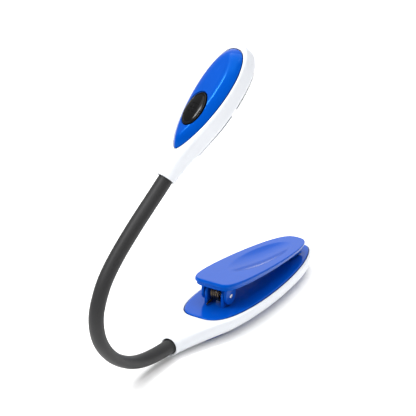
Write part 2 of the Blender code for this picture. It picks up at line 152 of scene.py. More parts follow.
def leaf(start, end, half, z, p, q, count=160, grow=0.0):
    # a pointed-round outline, blunt where p is small; z is a height or a function of x and y
    start, end, half = start - grow, end + grow, half + grow
    peak = p / (p + q)
    most = peak**p * (1 - peak)**q
    side = []
    for k in range(1, count // 2):  # points crowd towards the start
        t = (0.5 - 0.5 * math.cos(2 * math.pi * k / count))**1.4
        side.append((start + (end - start) * t, half * t**p * (1 - t)**q / most))
    ring = [(start, 0)] + [(x, -y) for x, y in side] + [(end, 0)] + side[::-1]
    return [(x, y, z(x, y) if callable(z) else z) for x, y in ring]


def leafOf(part, z, grow=0.0):
    return leaf(part["start"], part["end"], part["half"], z, part["p"], part["q"], grow=grow)


def oval(long, wide, z, x=0.0, y=0.0, count=96):
    angles = [2 * math.pi * k / count for k in range(count)]
    return [(x + long * math.cos(a), y + wide * math.sin(a), z) for a in angles]


def section(x, half, middle, top, bottom, boxTop, boxBottom, count=112):
    # a rounded section across x, boxier above and below middle as its powers grow
    ring = []
    for k in range(count):
        turn = 2 * math.pi * (k + 0.5) / count
        c, s = math.cos(turn), math.sin(turn)
        power = 2 / (boxTop if s > 0 else boxBottom)
        reach = top - middle if s > 0 else middle - bottom
        ring.append((x, half * math.copysign(abs(c)**power, c),
                     middle + reach * math.copysign(abs(s)**power, s)))
    return ring


def crown(y, half, middle, top, power):
    # the height of such a section's upper side at y
    return middle + (top - middle) * max(0.0, 1 - min(1, abs(y) / half)**power)**(1 / power)


def shrink(ring, amount, x=None):
    # a ring drawn in evenly towards its centre, and moved to x
    centre = sum((Vector(p) for p in ring), Vector()) / len(ring)
    drawn = []
    for p in ring:
        away = Vector(p) - centre
        drawn.append(centre + away * max(0.0, 1 - amount / max(away.length, 0.001)))
    return [(p.x if x is None else x, p.y, p.z) for p in drawn]


def roundOver(radius, steps=6):
    # (inset, rise) pairs of a quarter round from an upright side to a flat top
    return [(radius * (1 - math.cos(a)), radius * math.sin(a))
            for a in (math.pi / 2 * k / steps for k in range(steps + 1))]


def fillIn(ring, spine, height, steps):
    # rings from an outline in to the line between two x values; height gives z from x, y
    rings = []
    for k in range(1, steps + 1):
        share = 1 - k / steps
        inner = []
        for x, y, _ in ring:
            middle = min(max(x, spine[0]), spine[1])
            px, py = middle + (x - middle) * share, y * share
            inner.append((px, py, height(px, py)))
        rings.append(inner)
    return rings


def squareTo(ahead, across):
    # across made square to ahead, and the third direction, square to both
    across = (across - ahead * across.dot(ahead)).normalized()
    return across, ahead.cross(across)


def rod(name, a, b, radius, place, sides=40, half=None, edge=0.0):
    # a cylinder between two points, oval with half, its ends rounded by edge
    a, b = Vector(a), Vector(b)
    axis = (b - a).normalized()
    u, v = squareTo(axis, Vector((1, 0, 0)) if abs(axis.x) < 0.9 else Vector((0, 1, 0)))
    second = radius if half is None else half
    stops = [(a, 0), (b, 0)]
    if edge:
        stops = [(a + axis * (edge - rise), inset) for inset, rise in roundOver(edge, 4)[::-1]]
        stops += [(b - axis * (edge - rise), inset) for inset, rise in roundOver(edge, 4)]
    turns = [2 * math.pi * k / sides for k in range(sides)]
    rings = [[p + u * (radius - i) * math.cos(t) + v * (second - i) * math.sin(t) for t in turns]
             for p, i in stops]
    return loft(name, rings, place)


def upright(name, x, low, high, radius, place):
    return rod(name, (x, 0, low), (x, 0, high), radius, place)


def block(name, low, high, place):
    (x0, y0, z0), (x1, y1, z1) = low, high
    rings = [[(x0, y0, z), (x1, y0, z), (x1, y1, z), (x0, y1, z)] for z in (z0, z1)]
    return loft(name, rings, place)


def slab(name, outline, y0, y1, place, edge=0.0, centre=(0, 0)):
    # a flat shape in x and z with thickness in y; edge rounds both rims, drawing in to centre
    levels = [(y0, 0), (y1, 0)]
    if edge:
        levels = [(y0 + edge - rise, inset) for inset, rise in roundOver(edge, 3)[::-1]]
        levels += [(y1 - edge + rise, inset) for inset, rise in roundOver(edge, 3)]
    rings = []
    for y, inset in levels:
        ring = []
        for x, z in outline:
            away = Vector((x - centre[0], z - centre[1]))
            away *= 1 - inset / max(away.length, 0.001)
            ring.append((centre[0] + away.x, y, centre[1] + away.y))
        rings.append(ring)
    return loft(name, rings, place)


def settle(piece, slotName, *nodes, body=None, angle=38):
    # shades and finishes a piece; one that bends over a joint gets no body
    piece.data.shade_smooth()
    piece.data.set_sharp_from_angle(angle=math.radians(angle))
    piece.data.materials.clear()
    piece.data.materials.append(finishes[slotName])
    if body:
        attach(piece, body)
    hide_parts(*nodes)


# ---- finishes

class Value:  # a socket; a sum written with it adds a Math node
    def __init__(self, finish, socket):
        self.finish, self.socket = finish, socket

    def maths(self, operation, one, two):
        return self.finish.node("Math", {"operation": operation}, {0: one, 1: two})

    def __add__(self, other):
        return self.maths("ADD", self, other)

    def __sub__(self, other):
        return self.maths("SUBTRACT", self, other)

    def __rsub__(self, other):
        return self.maths("SUBTRACT", other, self)

    def __mul__(self, other):
        return self.maths("MULTIPLY", self, other)

    __radd__, __rmul__ = __add__, __mul__


class Finish:  # a material with its shader
    def __init__(self, name, sockets):
        self.material = bpy.data.materials.new(name)
        self.material.use_nodes = True
        self.tree = self.material.node_tree
        self.shader = self.tree.nodes["Principled BSDF"]
        self.feed(self.shader, sockets)

    def feed(self, node, inputs):
        for key, value in inputs.items():
            socket = node.inputs[key]
            if isinstance(value, Value):
                self.tree.links.new(value.socket, socket)
            else:
                socket.default_value = (*value, 1) if socket.type == "RGBA" else value

    def node(self, kind, settings=None, inputs=None, output=0):
        made = self.tree.nodes.new("ShaderNode" + kind)
        for key, value in (settings or {}).items():
            if key == "stops":
                for spot, (position, tone) in zip(made.color_ramp.elements, value):
                    spot.position, spot.color = position, (tone, tone, tone, 1)
            else:
                setattr(made, key, value)
        self.feed(made, inputs or {})
        return Value(self, made.outputs[output])

    def spread(self, scale, detail, roughness=0.55, stretch=(1, 1, 1)):
        # noise over the piece; scale is in features a metre
        place = self.node("TexCoord", output="Object")
        place = self.node("VectorMath", {"operation": "MULTIPLY"}, {0: place, 1: stretch})
        return self.node("TexNoise", {}, {"Vector": place, "Scale": scale, "Detail": detail,
                                          "Roughness": roughness})

    def ramp(self, value, low, high):
        return self.node("ValToRGB", {"stops": ((low, 0), (high, 1))}, {0: value})

    def tint(self, factor, one, two):
        return self.node("Mix", {"data_type": "RGBA"}, {0: factor, 6: one, 7: two}, output=2)

    def bump(self, height, depth, strength):
        self.feed(self.shader, {"Normal": self.node("Bump", {}, {
            "Height": height, "Distance": depth * mm, "Strength": strength})})


def moulded(name, look):
    # injection-moulded plastic: faint clouding, fine skin texture, hairline scuffs, edges
    # rubbed paler, and painted shade that darkens the colour in seams where two pieces meet
    finish = Finish(name, {"IOR": 1.5, "Specular IOR Level": look["shine"],
                           "Specular Tint": look["sheen"]})
    cloud = finish.spread(70, 4)
    skin = finish.spread(2400, 2)
    hair = finish.ramp(finish.spread(900, 3, 0.7, stretch=(0.12, 1, 1)), 0.66, 0.78)
    edge = finish.ramp(finish.node("NewGeometry", output="Pointiness"), 0.53, 0.62)
    worn = finish.ramp(finish.spread(330, 5, 0.7), 0.42, 0.62) * edge * look["wear"]
    # painted shade: ambient occlusion darkens the base colour in seams and gaps where pieces meet
    openness = finish.node("AmbientOcclusion", {"samples": 8},
                           {"Distance": look["paintedShadeReach"] * mm}, output="AO")
    paintedSeamShade = finish.ramp(1 - openness, 0.5, 0.75)
    colour = finish.tint(cloud, look["deep"], look["colour"])
    colour = finish.tint(worn, colour, look["rubbed"])
    colour = finish.tint(paintedSeamShade * 0.9, colour, look["paintedSeamShade"])
    rough = look["roughness"] + (cloud - 0.5) * look["patchy"] + hair * look["scuff"] + worn * 0.2
    finish.feed(finish.shader, {"Base Color": colour, "Roughness": rough})
    finish.bump(skin * 0.6 + cloud * 0.4, look["texture"], 0.5)
    return finish.material


def rubber(look):
    # soft sleeve: matt and finely grained, with pale dust in its texture
    finish = Finish("soft black sleeve", {"IOR": 1.48, "Specular IOR Level": look["shine"]})
    grain = finish.spread(2100, 3, 0.6)
    cloud = finish.spread(60, 4)
    dust = finish.ramp(finish.spread(1500, 4, 0.75), 0.60, 0.76)
    colour = finish.tint(cloud * 0.7 + dust * 0.3, look["deep"], look["pale"])
    finish.feed(finish.shader, {"Base Color": colour,
                                "Roughness": look["roughness"] + (grain - 0.5) * 0.14})
    finish.bump(grain, look["texture"], 0.6)
    return finish.material


def metal(name, look):
    # drawn or turned metal, with streaks and a few dull spots
    finish = Finish(name, {"Metallic": 1.0, "IOR": 2.2})
    streak = finish.spread(700, 4, 0.7, look["stretch"])
    spots = finish.ramp(finish.spread(520, 4, 0.7), 0.56, 0.74)
    colour = finish.tint(spots * look["tarnish"] + streak * 0.25, look["colour"], look["dull"])
    rough = look["roughness"] + (streak - 0.5) * 0.16 + spots * 0.12
    finish.feed(finish.shader, {"Base Color": colour, "Roughness": rough})
    finish.bump(streak, 0.01, 0.4)
    return finish.material


def clearPlastic(look):
    # clear moulding, faintly clouded, with hairline scuffs
    finish = Finish("clear plastic", {"IOR": 1.49, "Transmission Weight": look["clear"]})
    cloud = finish.spread(120, 3)
    hair = finish.ramp(finish.spread(1100, 3, 0.7, stretch=(1, 0.1, 1)), 0.64, 0.76)
    finish.feed(finish.shader, {"Base Color": finish.tint(cloud, look["deep"], look["colour"]),
                                "Roughness": look["roughness"] + hair * 0.12})
    finish.bump(cloud, 0.01, 0.3)
    return finish.material


def fibreBoard(look):
    # green solder mask over a fine weave
    finish = Finish("circuit board", {"IOR": 1.5, "Coat Weight": 0.4, "Coat Roughness": 0.2})
    weave = finish.node("TexWave", {"bands_direction": "X"}, {
        "Vector": finish.node("TexCoord", output="Object"), "Scale": look["weave"],
        "Distortion": 1.5})
    cloud = finish.spread(300, 3)
    finish.feed(finish.shader, {"Base Color": finish.tint(cloud, look["deep"], look["colour"]),
                                "Roughness": look["roughness"] + (weave - 0.5) * 0.1})
    finish.bump(weave, 0.01, 0.4)
    return finish.material


# deep and colour are a finish's two shades; seam is the colour painted into seams as shade;
# texture and the reach of that painted shade are in millimetres
blueLook = {"deep": (0.0, 0.056, 0.37), "colour": (0.0, 0.068, 0.44), "rubbed": (0.03, 0.13, 0.5),
            "wear": 0.3, "roughness": 0.15, "patchy": 0.05, "scuff": 0.10, "texture": 0.01,
            "shine": 0.4, "sheen": (0.04, 0.4, 1), "paintedSeamShade": (0.001, 0.003, 0.015),
            "paintedShadeReach": 1.4}
whiteLook = {"deep": (0.68, 0.70, 0.74), "colour": (0.72, 0.74, 0.78),
             "rubbed": (0.78, 0.78, 0.78), "wear": 0.2, "roughness": 0.26, "patchy": 0.05,
             "scuff": 0.10, "texture": 0.01, "shine": 0.5, "sheen": (1, 1, 1),
             "paintedSeamShade": (0.36, 0.35, 0.35), "paintedShadeReach": 0.8}
blackLook = {"deep": (0.0015, 0.0015, 0.0018), "colour": (0.003, 0.003, 0.0034),
             "rubbed": (0.10, 0.10, 0.10), "wear": 0.6, "roughness": 0.14, "patchy": 0.06,
             "scuff": 0.10, "texture": 0.005, "shine": 0.14, "sheen": (1, 1, 1),
             "paintedSeamShade": (0.002, 0.002, 0.002), "paintedShadeReach": 0.5}
lensLook = {"clear": 0.9, "deep": (0.9, 0.93, 0.95), "colour": (0.97, 0.98, 1), "roughness": 0.06}
resinLook = {"clear": 0.75, "deep": (0.9, 0.86, 0.6), "colour": (0.98, 0.95, 0.8),
             "roughness": 0.1}
sleeveLook = {"deep": (0.010, 0.010, 0.0105), "pale": (0.026, 0.026, 0.027), "roughness": 0.52,
              "texture": 0.03, "shine": 0.35}
boardLook = {"deep": (0.004, 0.07, 0.03), "colour": (0.012, 0.16, 0.06), "roughness": 0.4,
             "weave": 420}
metalLooks = {
    "steel": {"colour": (0.66, 0.66, 0.68), "dull": (0.34, 0.33, 0.32), "tarnish": 0.5,
              "roughness": 0.26, "stretch": (1, 1, 0.1)},
    "spring_steel": {"colour": (0.13, 0.10, 0.07), "dull": (0.03, 0.025, 0.02), "tarnish": 0.8,
                     "roughness": 0.3, "stretch": (1, 0.3, 1)},
    "neck_wire": {"colour": (0.5, 0.5, 0.5), "dull": (0.25, 0.24, 0.23), "tarnish": 0.5,
                  "roughness": 0.4, "stretch": (0.2, 1, 1)},
    "brass": {"colour": (0.72, 0.5, 0.2), "dull": (0.4, 0.26, 0.1), "tarnish": 0.5,
              "roughness": 0.3, "stretch": (0.2, 1, 1)},
    "cell_can": {"colour": (0.7, 0.7, 0.72), "dull": (0.45, 0.45, 0.46), "tarnish": 0.3,
                 "roughness": 0.22, "stretch": (1, 1, 0.2)}}
finishes = {"white_plastic": moulded("white plastic", whiteLook),
            "blue_plastic": moulded("blue plastic", blueLook),
            "black_plastic": moulded("black plastic", blackLook),
            "clear_plastic": clearPlastic(lensLook),
            "led_resin": clearPlastic(resinLook),
            "sleeve": rubber(sleeveLook),
            "steel": metal("bright steel", metalLooks["steel"]),
            "spring_steel": metal("spring steel", metalLooks["spring_steel"]),
            "neck_wire": metal("neck wire", metalLooks["neck_wire"]),
            "brass": metal("brass", metalLooks["brass"]),
            "cell_can": metal("cell can", metalLooks["cell_can"]),
            "circuit_board": fibreBoard(boardLook)}
print("finishes made:", len(finishes))


# ---- base hull

hull = {"rows": [(0, 4.0, 0.7), (3, 4.4, 0.7), (7, 5.6, 0.7), (11, 7.0, 0.7), (15, 8.4, 0.7),
                 (19, 9.8, 0.7), (23, 11.2, 0.7), (27, 12.6, 0.7), (31, 13.4, 0.7),
                 (36, 14.0, 0.7), (42, 14.4, 0.7), (50, 14.5, 0.7), (60, 14.1, 0.7),
                 (70, 13.1, 0.7), (80, 11.6, 0.7), (88, 9.9, 0.8), (94, 8.1, 1.2),
                 (99, 6.0, 2.0), (102.5, 4.0, 3.4), (104.4, 2.4, 5.0),
                 (105.2, 1.1, 6.4)],  # x, half width, underside
        "length": 105.2, "mouthEdge": 0.4, "straight": (0.8, 100, 0.8), "nose": 5.2,
        "noseRings": 26, "tip": 0.5,
        "collarTop": 8.7, "rim": 9.3, "rimOver": 16, "middle": 4.7, "middleRise": 2.6,
        "boxTop": 5, "boxBottom": 0.4, "boxOver": 22,
        "pocketFloor": 7.7, "pocketRoof": 14, "lip": 0.35,
        "wall": 3.6, "floorTop": 5.8, "hollow": (25, 93, 40), "hollowTop": 9.0,
        "mouth": ((-1, 3.7), (0.0, 3.65), (0.12, 3.42), (0.4, 3.3), (6.6, 3.3))}
crimpSeat = {"start": 5, "end": 15, "radius": 2.5}
deck = {"start": 20.9, "end": 103.4, "half": 13.1, "p": 0.29, "q": 0.54, "bottom": 8.0,
        "top": 9.5, "edge": 0.45, "lowEdge": 0.2, "spine": (32, 90),
        "ear": {"near": 3.2, "far": 4.6, "radius": 3.4, "foot": 8.8, "edge": 0.25}}
plate = {"start": 15.5, "end": 98.5, "half": 9.1, "p": 0.45, "q": 0.48, "top": 2.0, "edge": 0.35}
pin = {"at": Vector((36.2, 0, 14.0)), "radius": 1.0, "half": 6.35, "bore": 1.06, "edge": 0.22}
soleScrew = {"at": (45.0, 84.0), "levels": ((0.25, 1.7), (0.32, 1.95), (0.5, 2.2), (1.0, 2.2),
                                            (1.05, 2.15)),  # z and radius of the head
             "shankRadius": 0.95, "shank": (0.8, 7.6), "cross": (1.3, 0.22), "depth": 0.4,
             "clearance": 1.35, "sink": 2.6, "sinkTop": 1.35, "boss": 2.5, "bossTop": 8.5,
             "pilot": 1.1, "pilotTop": 8.2}
screwThread = {"turns": 9, "profile": (0.82, 0.9, 1.0, 0.9), "sides": 32}
hullHalf, hullUnder = through(hull["rows"], 1), through(hull["rows"], 2)


def hullShape(x):
    blend = ease(x / hull["boxOver"])
    top = hull["collarTop"] + (hull["rim"] - hull["collarTop"]) * ease(x / hull["rimOver"])
    return (hullHalf(x), hull["middle"] + hull["middleRise"] * blend, top, hullUnder(x),
            2 + hull["boxTop"] * blend, 2 + hull["boxBottom"] * blend)


def hullRing(x, inset=0.0, top=None, bottom=None):
    half, middle, high, low, boxTop, boxBottom = hullShape(x)
    return section(x, half - inset, middle, high if top is None else top,
                   low if bottom is None else bottom, boxTop, boxBottom)


def hullHeight(x, y):
    half, middle, top, _, power, _ = hullShape(x)
    return crown(y, half, middle, top, power)


def bodyRings(body, ringAt):
    # rings from a body's rounded mouth, along it and round its nose
    edge, length = body["mouthEdge"], body["length"]
    bends = np.sin(np.linspace(0, math.pi / 2, body["noseRings"]))
    rings = [shrink(ringAt(0), inset, edge - rise) for inset, rise in roundOver(edge)[::-1]]
    rings += [ringAt(x) for x in np.arange(*body["straight"])]
    rings += [ringAt(x) for x in length - body["nose"] * (1 - bends)]
    rings.append(shrink(ringAt(length), body["tip"], length))
    return rings


def lippedPocket(body, part, height, place):
    # a cutter for the part's seat, with a rounded rim where it leaves the height's surface
    lip = body["lip"]
    rings = [leafOf(part, body["pocketFloor"], touchGap)]
    for inset, rise in roundOver(lip):
        rings.append(leafOf(part, lambda x, y: height(x, y) - lip + rise, touchGap + inset))
    rings.append(leafOf(part, body["pocketRoof"], touchGap + lip))
    return loft("pocket", rings, place)


def neckHoles(body, height, place):
    # the flared hole that the sleeve goes into, and the narrower one for its crimp
    turns = [2 * math.pi * k / 48 for k in range(48)]
    rings = [[(x, r * math.cos(t), height + r * math.sin(t)) for t in turns]
             for x, r in body["mouth"]]
    seat = rod("crimpHole", (crimpSeat["start"], 0, height), (crimpSeat["end"], 0, height),
               crimpSeat["radius"], place)
    return loft("mouth", rings, place), seat


def makeHull():
    shell = loft("base_hull", bodyRings(hull, hullRing), basePlace)
    hollow = loft("hollow", [hullRing(x, hull["wall"], hull["hollowTop"], hull["floorTop"])
                             for x in np.linspace(*hull["hollow"])], basePlace)
    pocket = lippedPocket(hull, deck, hullHeight, basePlace)
    recess = loft("recess", [leafOf(plate, z, touchGap) for z in (-2, plate["top"] + touchGap)],
                  basePlace)
    cut(shell, hollow, pocket, recess, *neckHoles(hull, neckHeight, basePlace))
    for x in soleScrew["at"]:
        cut(shell, upright("screwHole", x, 1, hull["floorTop"] + 1, soleScrew["clearance"],
                           basePlace))
    settle(shell, "white_plastic", "base_shell", body="base")


def addEars(piece, ear, pinAt, place, hang=1):
    # two tongues with round ends about the pin; hang -1 turns them upside down
    x, z, radius = pinAt.x, pinAt.z, ear["radius"]
    outline = [(x - radius, ear["foot"]), (x + radius, ear["foot"])]
    outline += [(x + radius * math.cos(t), z + hang * radius * math.sin(t))
                for t in map(math.radians, range(0, 181, 6))]
    for side in (-1, 1):
        y0, y1 = sorted((side * ear["near"], side * ear["far"]))
        join(piece, slab("ear", outline, y0, y1, place, ear["edge"], (x, z)))


def pinHole(reach):
    side = Vector((0, reach, 0))
    return rod("pinHole", pin["at"] - side, pin["at"] + side, pin["bore"], basePlace)


def makeDeck():
    low, top, edge, lowEdge = deck["bottom"], deck["top"], deck["edge"], deck["lowEdge"]
    rings = [leafOf(deck, low, -lowEdge), leafOf(deck, low + lowEdge)]
    rings += [leafOf(deck, top - edge + rise, -inset) for inset, rise in roundOver(edge)]
    rings += fillIn(rings[-1], deck["spine"], lambda x, y: top, 14)
    piece = loft("base_deck_top", rings, basePlace, caps=(True, False))
    for x in soleScrew["at"]:
        join(piece, upright("boss", x, hull["floorTop"] + touchGap, soleScrew["bossTop"],
                            soleScrew["boss"], basePlace))
    addEars(piece, deck["ear"], pin["at"], basePlace)
    cut(piece, pinHole(8))
    for x in soleScrew["at"]:
        cut(piece, upright("pilot", x, 2, soleScrew["pilotTop"], soleScrew["pilot"], basePlace))
    settle(piece, "blue_plastic", "base_deck", body="base")


def makePlate():
    edge = plate["edge"]
    rings = [leafOf(plate, edge - rise, -inset) for inset, rise in roundOver(edge)[::-1]]
    rings.append(leafOf(plate, plate["top"]))
    piece = loft("base_sole", rings, basePlace)
    for x in soleScrew["at"]:
        cut(piece, upright("hole", x, -1, 4, soleScrew["clearance"], basePlace),
            upright("sink", x, -1, soleScrew["sinkTop"], soleScrew["sink"], basePlace))
    settle(piece, "blue_plastic", "base_plate", body="base")


def makeScrew(name, x, place, body, node, screw):
    # a pan-head screw seen from below, with a cross recess and a turned thread
    piece = loft(name, [oval(r, r, z, x) for z, r in screw["levels"]], place)
    start, end = screw["shank"]
    stops = 4 * screwThread["turns"]
    thread = []
    for k in range(stops + 1):
        r = screw["shankRadius"] * screwThread["profile"][k % 4]
        thread.append(oval(r, r, start + (end - start) * k / stops, x,
                           count=screwThread["sides"]))
    join(piece, loft("shank", thread, place))
    low, (long, thin) = screw["levels"][0][0], screw["cross"]
    for a, b in ((long, thin), (thin, long)):
        cut(piece, block("slot", (x - a, -b, low - 1), (x + a, b, low + screw["depth"]), place))
    settle(piece, "steel", node, body=body)


def makePin():
    side = Vector((0, pin["half"], 0))
    piece = rod("clip_pin", pin["at"] - side, pin["at"] + side, pin["radius"], basePlace,
                edge=pin["edge"])
    settle(piece, "steel", "hinge_pin", body="base")


spring = {"radius": 2.8, "wire": 0.42, "half": 2.3, "turns": 4.5, "sides": 14, "steps": 28,
          "leg": 5.2, "legRise": 0.25, "endRound": 0.12}


def makeSpring():
    radius, half, wire, leg = spring["radius"], spring["half"], spring["wire"], spring["leg"]
    total = int(spring["turns"] * spring["steps"])
    coil = []
    for k in range(total + 1):
        a = math.pi / 2 + 2 * math.pi * k / spring["steps"]
        coil.append(pin["at"] + Vector((-radius * math.cos(a), -half + 2 * half * k / total,
                                        radius * math.sin(a))))
    upper = [coil[0] + Vector((-x, 0, spring["legRise"] * x / leg))
             for x in np.linspace(leg, 0.4, 12)]
    foot = Vector((pin["at"].x - leg, half, deck["top"] + touchGap + wire))
    lower = [coil[-1].lerp(foot, t) for t in np.linspace(0.06, 1, 12)]
    line = upper + coil + lower
    turns = [2 * math.pi * i / spring["sides"] for i in range(spring["sides"])]
    rings, across = [], Vector((0, 1, 0))
    for k, p in enumerate(line):
        ahead = (line[min(k + 1, len(line) - 1)] - line[max(k - 1, 0)]).normalized()
        across, up = squareTo(ahead, across)
        inset = spring["endRound"] if k in (0, len(line) - 1) else 0
        rings.append([p + (across * math.cos(t) + up * math.sin(t)) * (wire - inset)
                      for t in turns])
    piece = loft("clip_coil_spring", rings, basePlace)
    settle(piece, "spring_steel", "clip_spring")
    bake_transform(piece)  # the coil's points are set in world space, with no body to carry it


# ---- paddle

paddle = {"start": 0, "end": 68.8, "half": 10.6, "p": 0.15, "q": 0.33, "heel": 3.2, "toe": 1.5,
          "edge": 0.5, "dimple": (38.2, 22.0, 6.3, 1.05), "soft": 0.07, "spine": (9, 56),
          "ear": {"near": 4.9, "far": 6.1, "radius": 3.6, "foot": -1.3, "edge": 0.25},
          # the edge from below, as shares of its depth and growths: rounded foot, lower
          # tier, narrow step, upper tier
          "tiers": ((1.0, -1.1), (0.97, -0.8), (0.9, -0.62), (0.56, -0.6), (0.52, -0.5),
                    (0.5, -0.2), (0.47, -0.05), (0.42, 0.0), (0.26, 0.0))}
gripNose = {"back": (85.7, 15.3), "firstTooth": 86.5, "pitch": 1.5, "teeth": 6, "tooth": 0.7,
            "end": 95.7, "toe": 1.2, "front": (95.9, 14.5), "half": 3.6}


def makePaddle():
    def under(share):
        return lambda x, y: (-paddle["heel"] + paddle["toe"] * x / paddle["end"]) * share

    def top(x, y):  # flat but for the thumb's dimple, which fades in at its rim
        centre, long, wide, depth = paddle["dimple"]
        u = 1 - ((x - centre) / long)**2 - (y / wide)**2
        return -depth * 0.5 * (u + math.sqrt(u * u + paddle["soft"]**2))

    rings = [leafOf(paddle, under(share), grow) for share, grow in paddle["tiers"]]
    edge, upperTier = paddle["edge"], under(paddle["tiers"][-1][0])
    for inset, rise in roundOver(edge)[1:]:
        rings.append(leafOf(paddle, lambda x, y: upperTier(x, y) * (1 - rise / edge), -inset))
    rings += fillIn(rings[-1], paddle["spine"], top, 40)
    piece = loft("clip_paddle", rings, paddlePlace, caps=(True, False))
    pinAt = (paddlePlace.inverted() @ basePlace) @ pin["at"]
    addEars(piece, paddle["ear"], pinAt, paddlePlace, hang=-1)
    foot, pitch = deck["top"] + touchGap, gripNose["pitch"]
    teeth = [(gripNose["firstTooth"] + pitch * k + pitch / 2 * j, foot + gripNose["tooth"] * j)
             for k in range(gripNose["teeth"]) for j in (0, 1)]
    outline = [gripNose["back"], *teeth[:-1], (gripNose["end"], foot + gripNose["toe"]),
               gripNose["front"]]
    join(piece, slab("nose", outline, -gripNose["half"], gripNose["half"], basePlace))
    cut(piece, pinHole(9))
    settle(piece, "blue_plastic", "paddle", body="paddle")


makeHull()
makeDeck()
makePlate()
for screwEnd, screwX in zip(("rear", "front"), soleScrew["at"]):
    makeScrew("sole_screw_" + screwEnd, screwX, basePlace, "base", "base_screw_" + screwEnd,
              soleScrew)
makePin()
makeSpring()
makePaddle()
print("base and clip made")


# ---- neck

neck = {"points": [(0, 0, neckHeight), (-20.9, -0.2, 7.3), (-37.2, -0.8, 15.3),
                   (-48.9, -2.0, 27.1), (-53.3, -2.9, 39.2), (-50.7, -3.4, 49.8),
                   (-44.7, -4.4, 59.1), (-33.7, -6.9, 71.1), headSettings["mouth"]],
        "pull": 20, "spanSteps": 48, "radius": 3.0, "bore": 1.4, "wire": 1.0, "sides": 56,
        "wireSides": 24, "firstJoint": 14.0, "spacing": 17.0, "joints": 7,
        "sleeveInsert": 6.0, "wireInsert": 13.0, "bendReach": 7.5, "step": 0.6,
        "squeeze": 0.17, "squeezeAt": 41.0, "squeezeOver": 24.0}


def neckLine():
    # one smooth curve through the points, its length at each step, and its last direction
    points = [Vector(p) for p in neck["points"]]
    ahead = (basePlace.inverted() @ headPlace).to_3x3() @ Vector((1, 0, 0))
    tangents = [(b - a) / 2 for a, b in zip(points, points[2:])]
    tangents = [Vector((-neck["pull"], 0, 0))] + tangents + [ahead * neck["pull"]]
    line = []
    for a, b, m, n in zip(points, points[1:], tangents, tangents[1:]):
        for t in (k / neck["spanSteps"] for k in range(neck["spanSteps"])):
            line.append(a * (2 * t**3 - 3 * t**2 + 1) + m * (t**3 - 2 * t**2 + t)
                        + b * (3 * t**2 - 2 * t**3) + n * (t**3 - t**2))
    line.append(points[-1])
    along = [0.0]
    for a, b in zip(line, line[1:]):
        along.append(along[-1] + (b - a).length)
    return line, along, ahead


neckPoints, neckAlong, neckAhead = neckLine()
neckLength = neckAlong[-1]


def onNeck(s):
    if s <= 0:
        return neckPoints[0] + Vector((1, 0, 0)) * -s
    if s >= neckLength:
        return neckPoints[-1] + neckAhead * (s - neckLength)
    k = int(np.searchsorted(neckAlong, s)) - 1
    share = (s - neckAlong[k]) / (neckAlong[k + 1] - neckAlong[k])
    return neckPoints[k].lerp(neckPoints[k + 1], share)


def neckRings(ends, radius, sides, squeeze=0.0):
    # squeeze flattens the tube a little in the plane of its tightest bend
    start, end = ends
    turns = [2 * math.pi * k / sides for k in range(sides)]
    rings = []
    for s in np.linspace(start, end, max(4, round((end - start) / neck["step"])) + 1):
        ahead = (onNeck(s + 0.5) - onNeck(s - 0.5)).normalized()
        across, up = squareTo(ahead, Vector((0, 1, 0)))
        flat = squeeze * math.exp(-((s - neck["squeezeAt"]) / neck["squeezeOver"])**2)
        rings.append([onNeck(s) + across * radius * (1 + flat * 0.4) * math.cos(t)
                      + up * radius * (1 - flat) * math.sin(t) for t in turns])
    return rings


def makeNeck():
    # each stretch runs between the middles of two links, with one joint inside it
    half = neck["spacing"] / 2
    for k in range(neck["joints"]):
        joint = neck["firstJoint"] + neck["spacing"] * k
        last = k == neck["joints"] - 1
        sleeveEnds, wireEnds = (
            (-insert if k == 0 else joint - half, neckLength + insert if last else joint + half)
            for insert in (neck["sleeveInsert"], neck["wireInsert"]))
        outer = neckRings(sleeveEnds, neck["radius"], neck["sides"], neck["squeeze"])
        inner = neckRings(sleeveEnds, neck["bore"], neck["sides"])
        sleeve = loft(f"neck_sleeve_{k + 1}", outer + inner[::-1], basePlace, wrap=True)
        wire = loft(f"neck_wire_{k + 1}", neckRings(wireEnds, neck["wire"], neck["wireSides"]),
                    basePlace)
        turn = [basePlace @ onNeck(joint + side * neck["bendReach"]) * mm for side in (-1, 1)]
        for piece, slotName, node in ((sleeve, "sleeve", "sleeve"), (wire, "neck_wire", "core")):
            nodes = [f"{node}_{k}"] + ([f"{node}_{k + 1}"] if last else [])
            settle(piece, slotName, *nodes, angle=60)
            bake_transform(piece)


makeNeck()
print("neck made")


# ---- head

head = {"rows": [(0, 3.9, 3.9, -3.9), (3, 4.05, 4.05, -4.05), (7, 4.45, 4.4, -4.25),
                 (11, 5.2, 4.8, -4.35), (14, 5.9, 5.0, -4.4), (18, 6.8, 5.1, -4.45),
                 (22, 7.8, 5.1, -4.45), (26, 8.7, 5.1, -4.45), (30, 9.3, 5.1, -4.45),
                 (36, 9.7, 5.1, -4.45), (42, 9.5, 5.1, -4.45), (46, 9.0, 5.1, -4.45),
                 (50, 8.2, 5.1, -4.45), (54, 6.7, 5.05, -4.3), (57, 4.6, 4.9, -3.6),
                 (58.8, 2.6, 4.5, -2.4), (59.5, 1.0, 3.8, -1.0)],  # x, half width, top, underside
        "length": 59.5, "mouthEdge": 0.4, "straight": (0.8, 55, 0.6), "nose": 4.5,
        "noseRings": 30, "tip": 0.6, "boxFrom": 2, "boxOver": 16, "boxTop": 5,
        "boxBottom": 1.2, "pocketFloor": 3.6, "pocketRoof": 9, "lip": 0.3, "wall": 2.4,
        "hollow": (19.6, 52.8, 24),
        "mouth": ((-1, 3.62), (0.0, 3.6), (0.12, 3.4), (0.35, 3.3), (6.6, 3.3))}
cover = {"start": 11.5, "end": 56.5, "half": 8.3, "p": 0.66, "q": 0.42, "seat": 4.9,
         "rise": 2.8, "reach": 5.4, "power": 2.3, "skirt": 3.9, "edge": 0.15, "wall": 1.4,
         "drop": 1.3, "spineInset": 12, "rimAt": 3.2, "rimRound": 0.28}
